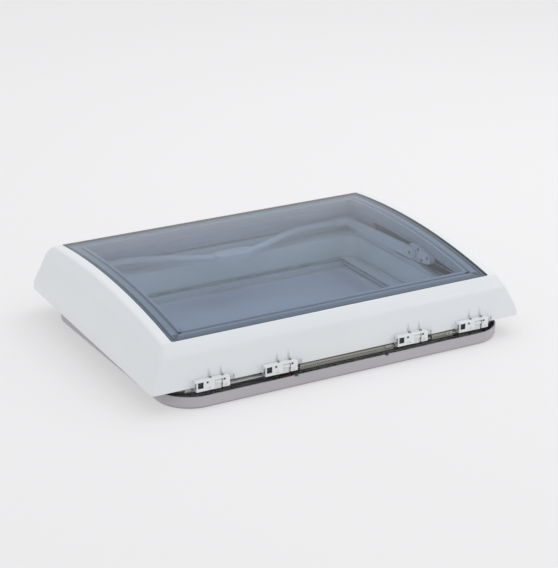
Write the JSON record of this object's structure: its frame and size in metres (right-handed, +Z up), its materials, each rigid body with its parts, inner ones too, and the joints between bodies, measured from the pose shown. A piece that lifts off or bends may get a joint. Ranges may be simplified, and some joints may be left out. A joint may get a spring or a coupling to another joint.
{
  "type": "hinged roof window",
  "caption": "Hinged tinted roof window for a caravan: wedge hood, double pane, bow handle, side hinges, blinds and inner frame, shut and nested as boxed.",
  "frame": {"origin": "centre of the roof cut-out, in the plane of the inner frame's underside", "axes": "+X along the hinges, +Y from the hinges to the rear, +Z up"},
  "size_m": [0.854, 0.637, 0.168],
  "materials": {
    "white_gloss": "glossy moulded",
    "liner_white": "satin moulded",
    "tray_white": "satin moulded",
    "tinted_acrylic": "polished, tinted",
    "clear_acrylic": "polished, clear",
    "dark_gasket": "matte",
    "seal_rubber": "matte",
    "spacer_grey": "matte",
    "grey_rail": "satin",
    "pin_steel": "satin",
    "screw_steel": "satin",
    "blackout_cloth": "pleated, metallised",
    "screen_mesh": "pleated mesh",
    "board_green": "satin",
    "terminal_red": "satin",
    "button_grey": "satin"
  },
  "bodies": {
    "frame": {"inner_frame": "tray_white", "outer_frame": "liner_white", "roof_seal": "seal_rubber", "weather_seal": "seal_rubber", "vent_strip": "liner_white", "hinge_rail": "grey_rail", "rail_clips": "grey_rail", "wiring_board": "board_green", "terminal_block": "terminal_red", "blind_rail_left": "tray_white", "blind_rail_right": "tray_white", "cassette_front": "tray_white", "cassette_rear": "tray_white", "blackout_fabric": "blackout_cloth", "screen_fabric": "screen_mesh", "bow_guide_left": "liner_white", "bow_guide_right": "liner_white", "hinge_leaf_1": "liner_white", "hinge_leaf_2": "liner_white", "hinge_leaf_3": "liner_white", "hinge_leaf_4": "liner_white"},
    "hood": {"hood_shell": "white_gloss", "hood_liner": "liner_white", "outer_pane": "tinted_acrylic", "inner_pane": "clear_acrylic", "pane_gasket": "dark_gasket", "pane_spacer": "spacer_grey", "hinge_screws": "screw_steel", "bow_bracket_left": "liner_white", "bow_bracket_right": "liner_white", "bow_pin_left": "pin_steel", "bow_pin_right": "pin_steel", "bow_bracket_screws": "screw_steel", "hinge_pin_1": "pin_steel", "hinge_pin_2": "pin_steel", "hinge_pin_3": "pin_steel", "hinge_pin_4": "pin_steel", "hinge_bracket_1": "white_gloss", "hinge_bracket_2": "white_gloss", "hinge_bracket_3": "white_gloss", "hinge_bracket_4": "white_gloss"},
    "bow": {"bow_arm_left": "liner_white", "bow_arm_right": "liner_white", "bow_bar_left": "liner_white", "bow_bar_right": "liner_white", "bow_grip": "liner_white"},
    "button": {"release_button": "button_grey"},
    "bolt_left": {"latch_bolt_left": "pin_steel"},
    "bolt_right": {"latch_bolt_right": "pin_steel"},
    "blackout": {"blackout_bar": "tray_white"},
    "screen": {"screen_bar": "grey_rail"}
  },
  "joints": [
    {"name": "hood_open", "type": "hinge", "parent": "frame", "child": "hood", "pos_m": [0, -0.291, 0.047], "axis": [1, 0, 0], "range_deg": [0, 45]},
    {"name": "bow_swing", "type": "hinge", "parent": "hood", "child": "bow", "pos_m": [0, -0.005, 0.107], "axis": [1, 0, 0], "range_deg": [-88, 0]},
    {"name": "release_press", "type": "slide", "parent": "bow", "child": "button", "axis": [0, 0, 1], "range_m": [0, 0.004], "stiffness_N_per_m": 600},
    {"name": "bolt_left_slide", "type": "slide", "parent": "bow", "child": "bolt_left", "axis": [1, 0, 0], "range_m": [0, 0.006]},
    {"name": "bolt_right_slide", "type": "slide", "parent": "bow", "child": "bolt_right", "axis": [-1, 0, 0], "range_m": [0, 0.006]},
    {"name": "blackout_slide", "type": "slide", "parent": "frame", "child": "blackout", "axis": [0, -1, 0], "range_m": [0, 0.44]},
    {"name": "screen_slide", "type": "slide", "parent": "frame", "child": "screen", "axis": [0, 1, 0], "range_m": [0, 0.44]}
  ],
  "couplings": [
    {"joint": "bow_swing", "follows": "hood_open", "ratio": -1.95},
    {"joint": "bolt_left_slide", "follows": "release_press", "ratio": 1.5},
    {"joint": "bolt_right_slide", "follows": "release_press", "ratio": 1.5}
  ]
}
